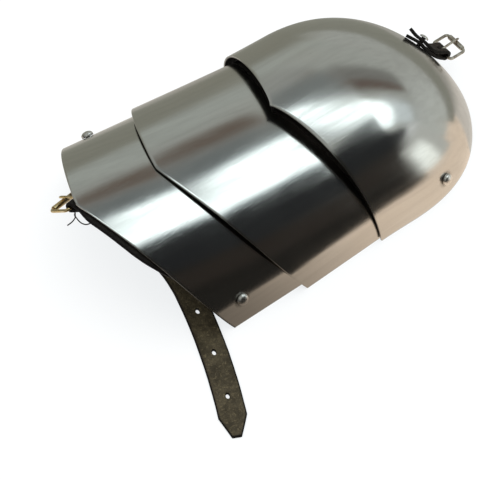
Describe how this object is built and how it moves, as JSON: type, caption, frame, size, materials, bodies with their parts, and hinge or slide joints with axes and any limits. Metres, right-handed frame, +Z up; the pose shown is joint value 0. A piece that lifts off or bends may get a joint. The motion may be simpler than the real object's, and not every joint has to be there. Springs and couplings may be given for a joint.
{
  "type": "pauldron",
  "caption": "Steel shoulder defence: a domed cop and overlapping lames on inner leathers, with a holed arm strap, its buckle, and a buckled tab at the neck.",
  "frame": {"origin": "on the base plane, under the middle of the object's box measured without the loose thread", "axes": "+X along the arm from the lower lame to the neck, +Y towards the rear side, +Z up from the base plane through the crest"},
  "size_m": [0.3376, 0.2428, 0.0882],
  "materials": {
    "steel": "polished mild steel, lightly brushed along the arm",
    "rivet_steel": "polished rivet steel",
    "strap_leather": "matt olive-brown leather with dark edges",
    "dark_leather": "near-black leather",
    "brass": "satin brass plate",
    "nickel": "satin nickel plate",
    "thread": "waxed black thread"
  },
  "bodies": {
    "cop": {"cop": "steel", "front_upper_leather": "dark_leather", "rear_upper_leather": "dark_leather", "front_cop_rivet": "rivet_steel", "front_cop_burr": "rivet_steel", "rear_cop_rivet": "rivet_steel", "rear_cop_burr": "rivet_steel", "neck_tab": "dark_leather", "neck_tab_rivet": "rivet_steel", "neck_tab_burr": "rivet_steel"},
    "middle_lame": {"middle_lame": "steel", "front_lower_leather": "dark_leather", "rear_lower_leather": "dark_leather", "front_middle_rivet": "rivet_steel", "front_middle_burr": "rivet_steel", "rear_middle_rivet": "rivet_steel", "rear_middle_burr": "rivet_steel"},
    "lower_lame": {"lower_lame": "steel", "front_lower_rivet": "rivet_steel", "front_lower_burr": "rivet_steel", "rear_lower_rivet": "rivet_steel", "rear_lower_burr": "rivet_steel", "arm_strap": "strap_leather", "arm_strap_rivet": "rivet_steel", "arm_strap_burr": "rivet_steel", "buckle_strap": "dark_leather", "buckle_strap_rivet": "rivet_steel", "buckle_strap_burr": "rivet_steel", "loose_thread": "thread"},
    "arm_frame": {"arm_buckle_frame": "brass"},
    "arm_roller": {"arm_buckle_roller": "brass"},
    "arm_prong": {"arm_buckle_prong": "brass"},
    "neck_frame": {"neck_buckle_frame": "nickel"},
    "neck_roller": {"neck_buckle_roller": "nickel"},
    "neck_prong": {"neck_buckle_prong": "nickel"}
  },
  "joints": [
    {"name": "middle_pivot", "type": "hinge", "parent": "cop", "child": "middle_lame", "pos_m": [0.03495, 0.03209, 0.018], "axis": [0, 1, 0], "range_deg": [-12, 7]},
    {"name": "lower_pivot", "type": "hinge", "parent": "middle_lame", "child": "lower_lame", "pos_m": [-0.03005, 0.03209, 0.02], "axis": [0, 1, 0], "range_deg": [-12, 0]},
    {"name": "arm_buckle_swing", "type": "hinge", "parent": "lower_lame", "child": "arm_frame", "pos_m": [-0.15182, 0.03795, 0.0809], "axis": [-0.9471, -0.2596, 0.1885], "range_deg": [-10, 40]},
    {"name": "arm_roller_spin", "type": "hinge", "parent": "arm_frame", "child": "arm_roller", "pos_m": [-0.15679, 0.04948, 0.07181], "axis": [-0.9471, -0.2596, 0.1885], "continuous": true},
    {"name": "arm_prong_swing", "type": "hinge", "parent": "arm_frame", "child": "arm_prong", "pos_m": [-0.15182, 0.03795, 0.0809], "axis": [-0.9471, -0.2596, 0.1885], "range_deg": [-20, 0]},
    {"name": "neck_buckle_swing", "type": "hinge", "parent": "cop", "child": "neck_frame", "pos_m": [0.15325, 0.03889, 0.0166], "axis": [0, 1, 0], "range_deg": [-30, 45]},
    {"name": "neck_roller_spin", "type": "hinge", "parent": "neck_frame", "child": "neck_roller", "pos_m": [0.16644, 0.03889, 0.01706], "axis": [0, 1, 0], "continuous": true},
    {"name": "neck_prong_swing", "type": "hinge", "parent": "neck_frame", "child": "neck_prong", "pos_m": [0.15325, 0.03889, 0.0166], "axis": [0, 1, 0], "range_deg": [-45, 0]}
  ]
}
